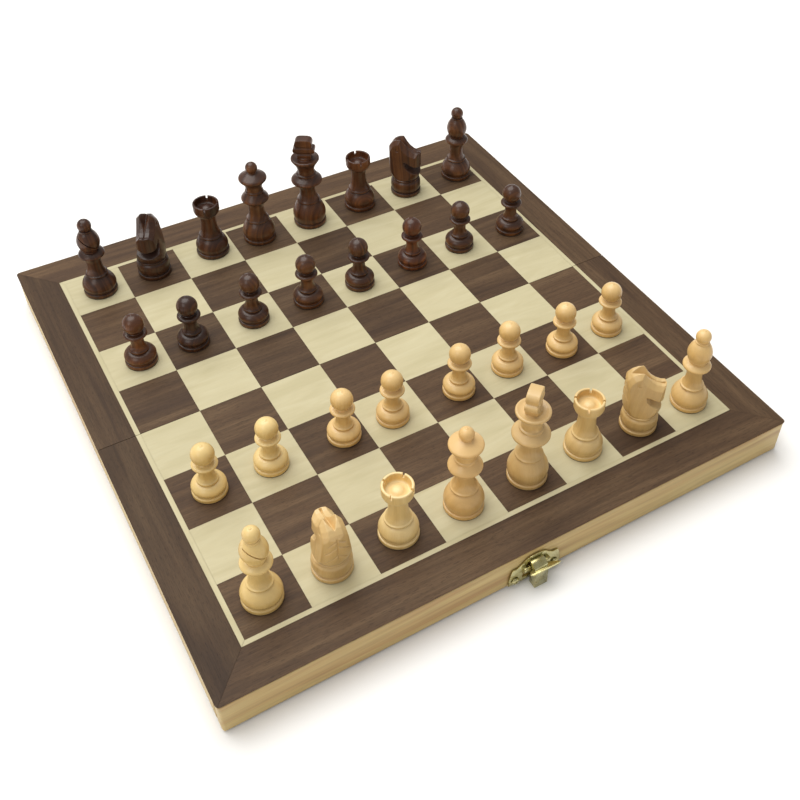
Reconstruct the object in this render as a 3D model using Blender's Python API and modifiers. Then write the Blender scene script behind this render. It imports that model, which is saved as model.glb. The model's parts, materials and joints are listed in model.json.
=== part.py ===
"""Folding chess board box with its thirty-two turned and carved pieces.

The box is two shallow trays, open underneath, joined by two butt hinges on the fold line across
the middle of the board.  Opened flat, their tops are the chess board.  Folded, the undersides
meet and a snap latch on the near wall grips a strike on the far wall.

World frame: X to the right, Y away from the near (latch) side, Z up, Z = 0 on the table.
Lengths below are in millimetres and are turned into metres by MM.
"""
import math

import bmesh
import bpy
from mathutils import Matrix, Vector

MM = 0.001
GAP = 0.3                      # clearance kept between touching pieces

# Board
PITCH = 33.0                   # side of one chess square
SQUARES = 8
BORDER_X = 18.5                # walnut border at the left and right
BORDER_Y = 19.8                # walnut border at the near and far edges
HALF_W = SQUARES / 2 * PITCH + BORDER_X
HALF_D = SQUARES / 2 * PITCH + BORDER_Y
FOLD_CLEAR = 0.2               # each half stops this far from the fold line
PANEL_T = 3.0
WALL_T = 7.0
CORNER_R = 1.6

# Heights
KNUCKLE_R = 1.2                # the knuckles touch the table, so this is also the axis height
AXIS_Z = KNUCKLE_R
RIM_Z = AXIS_Z + 0.2
TOP_Z = 21.0
WALL_TOP = TOP_Z - PANEL_T - GAP

# Hinges
HINGE_X = 92.0
HINGE_L = 20.0
LEAF_D = 6.4
LEAF_T = 0.75
LEAF_Z = AXIS_Z + 0.25
HINGE_PIN_R = 0.45
HINGE_BORE_R = 0.6
HINGE_SCREW_X = 6.2
HINGE_SCREW_D = 4.3

# Latch and strike, measured outwards from the wall face and up from the table
PLATE_T = 0.8
PIVOT_OUT = 1.7
PIVOT_Z = 10.6
BARREL_R = 3.8
BARREL_HALF_W = 3.5
LATCH_PIN_R = 0.6
LATCH_SCREW_X = 10.7
LATCH_SCREW_Z = 4.6
LIP_OUT = 8.4                  # reach of the thumb lip
HOOK_OUT = 4.8                 # reach of the strike's nose
STRIKE_SCREW_X = 8.2
STRIKE_SCREW_Z = 6.2

# The fold line sits where the whole model's box, latch included, is centred on Y = 0
FOLD_Y = (LIP_OUT - HOOK_OUT) / 2

# Pieces
TURN_STEPS = 12                # facets round a turned piece
PAWN_STEPS = 10

PALETTE = {
    "panel_wood": ((0.125, 0.078, 0.048, 1), 0.45, 0.0),
    "wall_wood": ((0.52, 0.36, 0.16, 1), 0.55, 0.0),
    "light_wood": ((0.62, 0.40, 0.17, 1), 0.35, 0.0),
    "dark_wood": ((0.085, 0.026, 0.011, 1), 0.3, 0.0),
    "brass": ((0.60, 0.50, 0.22, 1), 0.3, 1.0),
    "steel": ((0.55, 0.53, 0.48, 1), 0.35, 1.0),
}

SIDES = {"near": -1, "far": 1}


# ---------------------------------------------------------------- helpers

def clear_scene():
    for obj in list(bpy.data.objects):
        bpy.data.objects.remove(obj, do_unlink=True)


def new_collection(name):
    coll = bpy.data.collections.new(name)
    bpy.context.scene.collection.children.link(coll)
    return coll


def material(name, look):
    colour, roughness, metallic = PALETTE[look]
    mat = bpy.data.materials.new(name)
    mat.use_nodes = True
    bsdf = mat.node_tree.nodes["Principled BSDF"]
    bsdf.inputs["Base Color"].default_value = colour
    bsdf.inputs["Roughness"].default_value = roughness
    bsdf.inputs["Metallic"].default_value = metallic
    mat.diffuse_color = colour
    return mat


def put(obj, coll):
    for old in list(obj.users_collection):
        old.objects.unlink(obj)
    coll.objects.link(obj)
    return obj


def finish_part(obj, look):
    """Give a finished sub-part its material and its collection."""
    put(obj, PARTS)
    mat = material(obj.name + "_material", look)
    if not obj.data.materials:
        obj.data.materials.append(None)
    obj.material_slots[0].link = "OBJECT"
    obj.material_slots[0].material = mat
    obj.data.shade_smooth()
    obj.data.set_sharp_from_angle(angle=math.radians(35))
    return obj


def mesh_object(name, bm):
    mesh = bpy.data.meshes.new(name)
    bm.to_mesh(mesh)
    bm.free()
    obj = bpy.data.objects.new(name, mesh)
    GUIDES.objects.link(obj)
    return obj


def box(name, low, high):
    """A box between two corners, in millimetres."""
    bm = bmesh.new()
    bmesh.ops.create_cube(bm, size=1.0)
    for vert in bm.verts:
        for axis in range(3):
            vert.co[axis] = (high[axis] if vert.co[axis] > 0 else low[axis]) * MM
    return mesh_object(name, bm)


def rod(name, centre, radius, length, axis, steps):
    """A closed cylinder along X, Y or Z, in millimetres."""
    bm = bmesh.new()
    bmesh.ops.create_cone(bm, cap_ends=True, segments=steps, radius1=radius * MM,
                          radius2=radius * MM, depth=length * MM)
    turn = {"X": Matrix.Rotation(math.pi / 2, 4, "Y"),
            "Y": Matrix.Rotation(math.pi / 2, 4, "X"),
            "Z": Matrix.Identity(4)}[axis]
    bmesh.ops.transform(bm, matrix=Matrix.Translation(Vector(centre) * MM) @ turn, verts=bm.verts)
    return mesh_object(name, bm)


def turned(name, profile, steps):
    """A solid of revolution about Z from (radius, height) points that run from top to bottom."""
    mesh = bpy.data.meshes.new(name)
    points = [(radius * MM, 0.0, height * MM) for radius, height in profile]
    mesh.from_pydata(points, [(i, i + 1) for i in range(len(points) - 1)], [])
    obj = bpy.data.objects.new(name, mesh)
    GUIDES.objects.link(obj)
    screw = obj.modifiers.new("turn", "SCREW")
    screw.axis = "Z"
    screw.angle = math.tau
    screw.steps = screw.render_steps = steps
    screw.use_merge_vertices = True
    screw.merge_threshold = 0.00001
    return bake(obj)


def plate(name, outline, thickness):
    """A flat outline in the XY plane, in millimetres, thickened equally both ways along Z."""
    curve = bpy.data.curves.new(name, "CURVE")
    curve.dimensions = "2D"
    curve.fill_mode = "BOTH"
    curve.extrude = thickness / 2 * MM
    spline = curve.splines.new("POLY")
    spline.points.add(len(outline) - 1)
    for point, (x, y) in zip(spline.points, outline):
        point.co = (x * MM, y * MM, 0.0, 1.0)
    spline.use_cyclic_u = True
    obj = bpy.data.objects.new(name, curve)
    GUIDES.objects.link(obj)
    return bake(obj)


def bake(obj):
    """Replace an object that has modifiers, or is a curve, by its evaluated and welded mesh."""
    bpy.context.view_layer.update()
    depsgraph = bpy.context.evaluated_depsgraph_get()
    mesh = bpy.data.meshes.new_from_object(obj.evaluated_get(depsgraph))
    bm = bmesh.new()
    bm.from_mesh(mesh)
    bmesh.ops.remove_doubles(bm, verts=bm.verts, dist=0.000001)
    bmesh.ops.recalc_face_normals(bm, faces=bm.faces)
    bm.to_mesh(mesh)
    bm.free()
    name = obj.name
    solid = bpy.data.objects.new(name + "_solid", mesh)
    solid.matrix_world = obj.matrix_world
    GUIDES.objects.link(solid)
    bpy.data.objects.remove(obj, do_unlink=True)
    solid.name = name
    return solid


def transform(obj, matrix):
    """Move the mesh itself, leaving the object's origin at the world's."""
    obj.data.transform(matrix)
    return obj


def move(obj, x, y, z):
    return transform(obj, Matrix.Translation(Vector((x, y, z)) * MM))


def combine(obj, other, operation):
    """Boolean with a helper solid, applied at once; the helper is then removed."""
    boolean = obj.modifiers.new(operation.lower(), "BOOLEAN")
    boolean.operation = operation
    boolean.solver = "EXACT"
    boolean.object = other
    result = bake(obj)
    bpy.data.objects.remove(other, do_unlink=True)
    return result


def cut(obj, other):
    return combine(obj, other, "DIFFERENCE")


def join(obj, other):
    return combine(obj, other, "UNION")


def round_uprights(obj, corners):
    """Round the vertical edges that stand at the given (x, y) corners."""
    bm = bmesh.new()
    bm.from_mesh(obj.data)
    chosen = []
    for edge in bm.edges:
        low, high = edge.verts
        upright = (low.co - high.co).xy.length < 1e-7
        at_corner = any((low.co.xy - Vector(c) * MM).length < 1e-5 for c in corners)
        if upright and at_corner:
            chosen.append(edge)
    bmesh.ops.bevel(bm, geom=chosen, offset=CORNER_R * MM, segments=3, profile=0.5, affect="EDGES")
    bm.to_mesh(obj.data)
    bm.free()
    return obj


def arc(centre, radius, start, end, count):
    """Points along a circular arc, angles in degrees."""
    points = []
    for i in range(count + 1):
        angle = math.radians(start + (end - start) * i / count)
        points.append((centre[0] + radius * math.cos(angle), centre[1] + radius * math.sin(angle)))
    return points


# ---------------------------------------------------------------- board box

def from_fold(side, distance):
    """World Y of a place that far from the fold line on one side of it."""
    return FOLD_Y + SIDES[side] * distance


def half_box(name, side, x_range, d_range, z_range):
    """A box given by its distances from the fold line."""
    ys = sorted(from_fold(side, d) for d in d_range)
    return box(name, (x_range[0], ys[0], z_range[0]), (x_range[1], ys[1], z_range[1]))


def board_corners(side):
    inner = from_fold(side, FOLD_CLEAR)
    outer = from_fold(side, HALF_D)
    return [(x, y) for x in (-HALF_W, HALF_W) for y in (inner, outer)]


def make_panel(side):
    panel = half_box(side + "_panel", side, (-HALF_W, HALF_W), (FOLD_CLEAR, HALF_D),
                     (TOP_Z - PANEL_T, TOP_Z))
    round_uprights(panel, board_corners(side))
    finish_part(panel, "panel_wood")


def make_outer_wall(side):
    """The wall parallel to the fold at the board's outer edge; it carries the latch or strike."""
    wall = half_box(side + "_outer_wall", side, (-HALF_W, HALF_W), (HALF_D - WALL_T, HALF_D),
                    (RIM_Z, WALL_TOP))
    round_uprights(wall, board_corners(side))
    screws = LATCH_SCREWS if side == "near" else STRIKE_SCREWS
    for x, z in screws:
        y = from_fold(side, HALF_D)
        wall = cut(wall, rod("hole", (x, y, z), 1.1, 12.0, "Y", 10))
    if side == "near":
        y = from_fold(side, HALF_D + PIVOT_OUT)
        wall = cut(wall, rod("pocket", (0, y, PIVOT_Z), BARREL_R + 0.5, 2 * BARREL_HALF_W + 1.2,
                             "X", 20))
    finish_part(wall, "wall_wood")


def make_fold_wall(side):
    """The wall beside the fold, with a seat for each hinge leaf and a notch for its knuckles."""
    wall = half_box(side + "_fold_wall", side, (-HALF_W, HALF_W), (FOLD_CLEAR, WALL_T),
                    (RIM_Z, WALL_TOP))
    round_uprights(wall, board_corners(side))
    for x in (-HINGE_X, HINGE_X):
        reach = HINGE_L / 2 + GAP
        wall = cut(wall, half_box("seat", side, (x - reach, x + reach), (-1, LEAF_D + GAP),
                                  (0, LEAF_Z + LEAF_T + GAP)))
        wall = cut(wall, rod("notch", (x, FOLD_Y, AXIS_Z), KNUCKLE_R + GAP, 2 * reach, "X", 16))
        for dx in (-HINGE_SCREW_X, HINGE_SCREW_X):
            y = from_fold(side, HINGE_SCREW_D)
            wall = cut(wall, rod("hole", (x + dx, y, AXIS_Z), 0.9, 16.0, "Z", 8))
    finish_part(wall, "wall_wood")


def make_side_wall(side, hand):
    sign = {"left": -1, "right": 1}[hand]
    xs = sorted((sign * (HALF_W - WALL_T), sign * HALF_W))
    wall = half_box(side + "_" + hand + "_wall", side, xs, (WALL_T + GAP, HALF_D - WALL_T - GAP),
                    (RIM_Z, WALL_TOP))
    finish_part(wall, "wall_wood")


# ---------------------------------------------------------------- hinges

def knuckle(x_low, x_high):
    middle = (x_low + x_high) / 2
    ring = rod("ring", (middle, FOLD_Y, AXIS_Z), KNUCKLE_R, x_high - x_low, "X", 16)
    return ring


def make_leaf(side, hand, x):
    """One hinge leaf: near leaves carry the two end knuckles, far leaves the middle one."""
    third = HINGE_L / 3
    ends = [(-HINGE_L / 2, -third / 2 - 0.1), (third / 2 + 0.1, HINGE_L / 2)]
    middle = [(-third / 2 + 0.1, third / 2 - 0.1)]
    spans = ends if side == "near" else middle
    name = "hinge_" + hand + "_" + side + "_leaf"
    leaf = half_box(name, side, (x - HINGE_L / 2, x + HINGE_L / 2), (KNUCKLE_R + 0.25, LEAF_D),
                    (LEAF_Z, LEAF_Z + LEAF_T))
    for low, high in spans:
        leaf = join(leaf, half_box("strap", side, (x + low, x + high), (0.3, KNUCKLE_R + 0.4),
                                   (LEAF_Z, LEAF_Z + LEAF_T)))
        leaf = join(leaf, knuckle(x + low, x + high))
    leaf = cut(leaf, rod("bore", (x, FOLD_Y, AXIS_Z), HINGE_BORE_R, HINGE_L + 2, "X", 12))
    for dx in (-HINGE_SCREW_X, HINGE_SCREW_X):
        y = from_fold(side, HINGE_SCREW_D)
        leaf = cut(leaf, rod("hole", (x + dx, y, LEAF_Z), 1.65, 6.0, "Z", 10))
    finish_part(leaf, "brass")


def make_hinge(hand, x):
    for side in SIDES:
        make_leaf(side, hand, x)
        screw = screw_body("hinge_" + hand + "_" + side + "_screw", 1.35, LEAF_T, 0.6, 6.5, 8)
        transform(screw, Matrix.Rotation(math.pi, 4, "X"))
        move(screw, x + SIDES[side] * HINGE_SCREW_X, from_fold(side, HINGE_SCREW_D),
             LEAF_Z + LEAF_T)
        finish_part(screw, "steel")
    pin = rod("hinge_" + hand + "_pin", (x, FOLD_Y, AXIS_Z), HINGE_PIN_R, HINGE_L, "X", 12)
    finish_part(pin, "brass")


def screw_body(name, head_r, head_h, shank_r, length, steps):
    """A wood screw standing on its tip, the underside of its head at Z = 0."""
    profile = [(0, head_h), (head_r * 0.6, head_h * 0.92), (head_r, head_h * 0.35), (head_r, 0),
               (shank_r, -0.01), (shank_r, 2.0 - length), (0, -length)]
    return turned(name, profile, steps)


# ---------------------------------------------------------------- latch and strike

LATCH_SCREWS = [(-LATCH_SCREW_X, LATCH_SCREW_Z), (LATCH_SCREW_X, LATCH_SCREW_Z)]
STRIKE_SCREWS = [(-STRIKE_SCREW_X, STRIKE_SCREW_Z), (STRIKE_SCREW_X, STRIKE_SCREW_Z)]


def mirrored(right_half):
    """Close an outline from the points of its right half, listed from bottom to top."""
    left_half = [(-x, z) for x, z in reversed(right_half) if x > 0]
    return right_half + left_half


def stand_on_wall(obj, side, out):
    """Turn a flat plate upright, its middle plane that far out from the wall's face."""
    transform(obj, Matrix.Rotation(math.pi / 2, 4, "X"))
    return move(obj, 0, from_fold(side, HALF_D + out), 0)


def make_latch_plate():
    """The plate has an ear with a screw at each end and an arch over the window in its middle."""
    low = RIM_Z + 0.3
    ear = [(14.0, low), (13.7, low + 3.5), (12.9, low + 9.4), (11.8, low + 10.7), (9.8, low + 10.4)]
    arch = arc((0, low + 6.6), 8.9, 30, 90, 5)
    body = plate("latch_plate", mirrored(ear + arch), PLATE_T)
    frame = [(6.6, low + 2.0), (6.6, low + 7.6)] + arc((0, low + 7.6), 6.6, 20, 90, 4)
    body = cut(body, plate("window", mirrored(frame), 3 * PLATE_T))
    body = stand_on_wall(body, "near", GAP + PLATE_T / 2)
    for x, z in LATCH_SCREWS:
        body = cut(body, rod("hole", (x, from_fold("near", HALF_D), z), 1.2, 8.0, "Y", 10))
    for sign in (-1, 1):
        xs = sorted((sign * 4.0, sign * 7.2))
        lug = half_box("lug", "near", xs, (HALF_D + GAP, HALF_D + PIVOT_OUT + 1.3),
                       (PIVOT_Z - 1.3, PIVOT_Z + 1.3))
        body = join(body, lug)
    y = from_fold("near", HALF_D + PIVOT_OUT)
    body = cut(body, rod("seat", (0, y, PIVOT_Z), LATCH_PIN_R + 0.15, 11.6, "X", 12))
    finish_part(body, "brass")


def make_latch_pin():
    y = from_fold("near", HALF_D + PIVOT_OUT)
    finish_part(rod("latch_pin", (0, y, PIVOT_Z), LATCH_PIN_R, 11.2, "X", 12), "brass")


def make_latch_tab():
    """The catch: a barrel on the pin, a thumb lip with pointed ends, and a channel that hooks."""
    face_out = 7.2
    floor = AXIS_Z - 1.0
    width = BARREL_HALF_W - 0.1
    wall = 0.8
    y0 = from_fold("near", HALF_D)
    tab = rod("latch_tab", (0, y0 - PIVOT_OUT, PIVOT_Z), BARREL_R, 2 * BARREL_HALF_W, "X", 24)

    lip_half = [(width - 0.3, -2.6), (5.4, -5.2), (10.0, -LIP_OUT + 0.5), (8.0, -LIP_OUT)]
    lip = plate("lip", mirrored(lip_half), wall)
    tab = join(tab, move(lip, 0, y0, 14.0))

    # side view of the channel, as (out, height), stood up along X
    cheek = [(2.0, 12.0), (face_out + 0.5, 13.8), (face_out - 0.6, floor), (2.2, floor),
             (2.4, 5.0), (3.6, 8.0)]
    hollow = [(5.4, 7.0), (5.9, 8.0), (face_out - 0.7, 9.0), (face_out - 1.5, floor + 0.7),
              (4.2, floor + 0.7), (4.2, floor - 1.0), (0.5, floor - 1.0), (0.5, 7.0)]
    upright = Matrix(((0, 0, -1, 0), (-1, 0, 0, y0 * MM), (0, 1, 0, 0), (0, 0, 0, 1)))
    body = transform(plate("body", cheek, 2 * width), upright)
    body = cut(body, transform(plate("hollow", hollow, 2 * (width - wall)), upright))
    tab = join(tab, body)
    tab = cut(tab, rod("bore", (0, y0 - PIVOT_OUT, PIVOT_Z), LATCH_PIN_R + 0.15, 20, "X", 12))
    finish_part(tab, "brass")


def make_strike():
    """The strike plate and its nose, which points towards the fold's other half when closed."""
    low = RIM_Z + 0.3
    outline = [(-11.0, low), (11.0, low), (11.0, low + 6.0)] + arc((8.2, low + 5.6), 2.8, 10, 90, 3)
    outline += [(-x, z) for x, z in reversed(outline[2:])]
    body = plate("strike_plate", outline, PLATE_T)
    body = stand_on_wall(body, "far", GAP + PLATE_T / 2)
    for x, z in STRIKE_SCREWS:
        body = cut(body, rod("hole", (x, from_fold("far", HALF_D), z), 1.2, 8.0, "Y", 10))
    y0 = from_fold("far", HALF_D)
    root_out = GAP + PLATE_T + 0.4      # below the plate the nose stands clear of the latch plate
    side_view = [(0.7, 6.0), (0.7, AXIS_Z + 1.2), (root_out, AXIS_Z + 0.7),
                 (root_out, AXIS_Z - 0.8), (HOOK_OUT - 0.6, AXIS_Z - 0.8),
                 (HOOK_OUT, AXIS_Z - 0.3), (HOOK_OUT, AXIS_Z + 0.1), (3.7, AXIS_Z + 0.3),
                 (3.0, 4.2)]
    upright = Matrix(((0, 0, 1, 0), (1, 0, 0, y0 * MM), (0, 1, 0, 0), (0, 0, 0, 1)))
    nose = transform(plate("nose", side_view, 4.6), upright)
    finish_part(join(body, nose), "brass")


def make_plate_screws():
    """Domed screws through the latch plate and the strike, with their shanks in the walls."""
    for group, side, places in (("latch", "near", LATCH_SCREWS), ("strike", "far", STRIKE_SCREWS)):
        turn = {"near": math.pi / 2, "far": -math.pi / 2}[side]
        for hand, (x, z) in zip(("left", "right"), places):
            screw = screw_body(group + "_screw_" + hand, 2.0, 1.0, 0.8, 7.0, 10)
            transform(screw, Matrix.Rotation(turn, 4, "X"))
            move(screw, x, from_fold(side, HALF_D + 2 * GAP + PLATE_T), z)
            finish_part(screw, "brass")


# ---------------------------------------------------------------- chess pieces

def pedestal(base_r, bell_r, bell_z, step_r, step_z):
    """Lower part that every piece shares: step ring, bell, groove and bottom flange."""
    shoulder_r = step_r + 0.62 * (bell_r - step_r)
    shoulder_z = bell_z + 0.62 * (step_z - 1.0 - bell_z)
    return [(step_r, step_z), (shoulder_r, shoulder_z), (bell_r, bell_z), (base_r - 0.9, 2.7),
            (base_r, 2.0), (base_r, 0), (0, 0)]


def ball(radius, centre_z, from_angle, to_angle, count):
    """Part of a sphere's outline, angles from the pole at the top."""
    points = []
    for i in range(count + 1):
        angle = math.radians(from_angle + (to_angle - from_angle) * i / count)
        points.append((radius * math.sin(angle), centre_z + radius * math.cos(angle)))
    points[0] = (0, points[0][1]) if from_angle == 0 else points[0]
    return points


def make_pawn_shape():
    head = ball(5.5, 25.5, 0, 140, 4)
    neck = [(5.9, 20.0), (6.1, 18.7), (3.6, 16.2), (3.6, 11.6)]
    return turned("pawn_shape", head + neck + pedestal(8.7, 8.2, 5.2, 5.0, 9.2), PAWN_STEPS)


def make_bishop_shape():
    finial = ball(3.75, 44.4, 0, 125, 3) + [(2.9, 40.8)]
    mitre = [(5.2, 37.4), (6.05, 34.0), (4.4, 28.9)]
    neck = [(6.3, 27.0), (6.9, 25.2), (4.1, 22.6), (3.9, 16.0)]
    shape = turned("bishop_shape", finial + mitre + neck
                   + pedestal(9.5, 9.2, 5.2, 5.8, 12.6), TURN_STEPS)
    slit = box("slit", (-8, -8, -0.35), (8, -1.0, 0.35))
    transform(slit, Matrix.Rotation(math.radians(38), 4, "Y"))
    move(slit, 0.6, 0, 34.6)
    return cut(shape, slit)


def make_rook_shape():
    cup = [(0, 33.0), (3.0, 32.0), (5.6, 31.0), (6.1, 35.5), (7.5, 35.5), (7.4, 29.4), (6.7, 28.2),
           (6.6, 27.0), (4.4, 23.2)]
    neck = [(4.4, 17.4)]
    shape = turned("rook_shape", cup + neck + pedestal(9.75, 9.15, 5.6, 6.4, 12.4), TURN_STEPS)
    for i in range(4):
        notch = box("notch", (4.5, -0.55, 33.4), (9, 0.55, 37))
        shape = cut(shape, transform(notch, Matrix.Rotation(math.radians(38 + 90 * i), 4, "Z")))
    return shape


def make_queen_shape():
    cap = ball(3.5, 48.8, 0, 130, 3) + [(7.3, 44.2), (7.95, 42.6), (7.4, 41.3), (4.7, 37.2)]
    neck = [(5.0, 33.2), (5.0, 31.8), (7.6, 29.2), (7.7, 27.5), (4.4, 24.6), (4.4, 18.0)]
    return turned("queen_shape", cap + neck + pedestal(9.8, 9.4, 6.4, 6.5, 14.2), TURN_STEPS)


def make_king_shape():
    crown = [(0, 46.6), (3.5, 46.0), (3.9, 45.0), (7.4, 45.2), (8.3, 44.0), (7.4, 42.4), (4.8, 36.6)]
    neck = [(5.7, 34.2), (5.7, 32.8), (9.0, 30.0), (8.8, 28.7), (4.7, 25.8), (4.5, 20.0)]
    shape = turned("king_shape", crown + neck + pedestal(10.0, 9.75, 7.0, 6.6, 16.2), TURN_STEPS)
    side = [(3.2, 45.6), (4.2, 48.6), (6.0, 49.4), (6.4, 50.6), (5.8, 52.0), (4.6, 52.8),
            (4.9, 55.8), (3.0, 57.9)]
    cross = plate("cross", mirrored(side), 6.2)
    transform(cross, Matrix.Rotation(math.pi / 2, 4, "X"))
    return join(shape, cross)


def knight_half_width(forward, height):
    """The cheeks are sawn to a wedge, full at the chest, thin at the ears and the nose."""
    chest_half_width, upward, towards_nose = 7.9, 0.12, 0.10
    return chest_half_width - upward * (height - 11.0) - towards_nose * (forward + 2.0)


def make_knight_shape():
    """Faces +X."""
    foot = [(0, 12.2), (8.6, 12.0), (8.6, 10.4), (8.0, 9.4), (9.2, 5.4), (8.5, 2.7), (9.35, 2.0),
            (9.35, 0), (0, 0)]
    shape = turned("knight_shape", foot, TURN_STEPS)
    back = [(-8.3, 11.0), (-9.2, 14.5), (-9.9, 20.0), (-9.9, 26.0), (-9.3, 31.0), (-7.4, 35.2),
            (-4.6, 36.9), (-1.7, 37.6)]
    face = [(-0.6, 35.6), (2.2, 32.1), (4.7, 30.5), (7.3, 29.7), (9.7, 29.9), (10.2, 28.8),
            (10.1, 24.5), (8.6, 18.9)]
    throat = [(0.4, 23.8), (1.3, 20.6), (3.2, 18.7), (6.2, 17.2), (8.7, 15.4), (9.0, 13.2),
              (8.3, 11.0)]
    head = plate("head", back + face + throat, 2.0)
    for vert in head.data.vertices:
        vert.co.z *= knight_half_width(vert.co.x / MM, vert.co.y / MM)
    transform(head, Matrix.Rotation(math.pi / 2, 4, "X"))
    head = combine(head, rod("blank", (0, 0, 26), 9.9, 40, "Z", 20), "INTERSECT")
    return join(shape, head)


BACK_ROW = ["bishop", "knight", "rook", "queen", "king", "rook", "knight", "bishop"]
RANKS = {("light", False): 0, ("light", True): 2, ("dark", True): 5, ("dark", False): 7}
TURNS = {"light_knight_left": 86, "light_knight_right": -34, "dark_knight_left": -118,
         "dark_knight_right": -50, "light_king": 40, "dark_king": -32,
         "light_bishop_left": 0, "light_bishop_right": 150, "dark_bishop_left": -20,
         "dark_bishop_right": 160, "light_rook_left": 0, "light_rook_right": 12,
         "dark_rook_left": 25, "dark_rook_right": 40}

# How far each piece was set down from the middle of its square, left to right along each row
SET_DOWN = {
    ("light", False): [(0.5, 1), (0, 0), (0.5, 1), (1, 0), (3, 0), (3, 0.5), (3, -0.5), (2, -1)],
    ("light", True): [(2.5, 0), (0.5, 0), (5.5, -1), (-1, -2), (4, -2.5), (1.5, -1), (1.5, -3.5),
                      (-1, -2.5)],
    ("dark", True): [(3.5, -0.5), (-1, -1), (1, 0), (0.5, -0.5), (-1, -1.5), (1, 0), (0, 0),
                     (2, -1)],
    ("dark", False): [(2.5, -0.5), (1, 0), (4, 1.5), (0, 0), (0, 0), (1, 0), (0, -1), (3.5, -1.5)],
}


def piece_name(colour, kind, column):
    if kind == "pawn":
        return colour + "_pawn_" + str(column + 1)
    if kind in ("queen", "king"):
        return colour + "_" + kind
    return colour + "_" + kind + ("_left" if column < SQUARES / 2 else "_right")


def make_pieces():
    shapes = {"pawn": make_pawn_shape(), "bishop": make_bishop_shape(), "rook": make_rook_shape(),
              "queen": make_queen_shape(), "king": make_king_shape(),
              "knight": make_knight_shape()}
    for (colour, is_pawn), rank in RANKS.items():
        for column in range(SQUARES):
            kind = "pawn" if is_pawn else BACK_ROW[column]
            name = piece_name(colour, kind, column)
            dx, dy = SET_DOWN[(colour, is_pawn)][column]
            piece = bpy.data.objects.new(name, shapes[kind].data)
            x = (column - (SQUARES - 1) / 2) * PITCH + dx
            y = (rank - (SQUARES - 1) / 2) * PITCH + dy + FOLD_Y
            piece.location = Vector((x, y, TOP_Z + GAP)) * MM
            piece.rotation_euler.z = math.radians(TURNS.get(name, 0))
            finish_part(piece, colour + "_wood")
    for shape in shapes.values():
        bpy.data.objects.remove(shape, do_unlink=True)


clear_scene()
PARTS = new_collection("chess_set_with_board")
GUIDES = new_collection("cutters")

for half in SIDES:
    make_panel(half)
    make_outer_wall(half)
    make_fold_wall(half)
    for wall_hand in ("left", "right"):
        make_side_wall(half, wall_hand)
make_hinge("left", -HINGE_X)
make_hinge("right", HINGE_X)
make_latch_plate()
make_latch_pin()
make_latch_tab()
make_strike()
make_plate_screws()
make_pieces()
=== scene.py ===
"""Looks of a folding chess set: inlaid veneers, turned and carved pieces, stamped brass fittings.

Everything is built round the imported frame.  Lengths are in millimetres, turned into metres by MM;
places come from the boxes of the frame's nodes.  X runs along the fold, Y away from the latch.
"""
import json
import math
import random

import bmesh
import bpy
from mathutils import Matrix, Vector

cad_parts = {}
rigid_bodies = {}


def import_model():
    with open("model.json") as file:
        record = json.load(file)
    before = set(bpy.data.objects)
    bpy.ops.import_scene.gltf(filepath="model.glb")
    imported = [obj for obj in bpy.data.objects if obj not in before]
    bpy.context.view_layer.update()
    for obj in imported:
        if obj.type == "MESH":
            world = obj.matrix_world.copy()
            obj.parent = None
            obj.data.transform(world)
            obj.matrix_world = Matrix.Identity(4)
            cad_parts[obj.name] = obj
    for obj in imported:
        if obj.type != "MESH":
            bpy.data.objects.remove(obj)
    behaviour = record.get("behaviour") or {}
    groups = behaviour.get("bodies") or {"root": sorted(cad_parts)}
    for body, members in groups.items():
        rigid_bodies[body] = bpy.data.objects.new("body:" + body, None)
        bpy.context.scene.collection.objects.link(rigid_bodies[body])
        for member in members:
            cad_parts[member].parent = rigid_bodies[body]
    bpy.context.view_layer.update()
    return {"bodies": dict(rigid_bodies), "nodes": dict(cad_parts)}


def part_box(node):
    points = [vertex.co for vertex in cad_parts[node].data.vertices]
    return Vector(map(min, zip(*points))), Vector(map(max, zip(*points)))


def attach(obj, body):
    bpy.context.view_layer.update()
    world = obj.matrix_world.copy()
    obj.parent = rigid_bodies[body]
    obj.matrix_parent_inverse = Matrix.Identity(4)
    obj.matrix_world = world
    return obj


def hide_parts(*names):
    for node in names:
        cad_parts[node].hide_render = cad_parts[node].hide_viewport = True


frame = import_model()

MM = 0.001
PITCH = 33.0  # side of one chess square
SQUARES = 8
STRINGING = 2.4  # pale line round the field, laid inside its outer squares
VENEER_T = 0.6
BACKING_T = 0.5  # pale cross-band under the veneer
SEAM = 0.05  # half the gap between two squares
STRIP_SEAM = 0.02  # the same between the strips of the frame
JOINT_ARRIS = 0.03  # eased top edge of a strip where it meets another piece
WALL_TONE = 0.04  # how far the brightness of the wall boards may differ
WALL_T = 7.0
CORNER_R = 1.6
KNUCKLE_R = 1.2
LEAF_SCREW_X = 6.2  # hinge screws, each side of the leaf's middle
GRAIN_ORDER = {"X": (0, 1, 2), "Y": (1, 0, 2), "Z": (2, 0, 1)}  # the grain's axis first


# ---- places taken from the frame

def node_box(node):
    """Lowest and highest corner of a frame node, in millimetres."""
    low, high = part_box(node)
    return low / MM, high / MM


def node_middle(node):
    low, high = node_box(node)
    return (low + high) / 2


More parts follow.
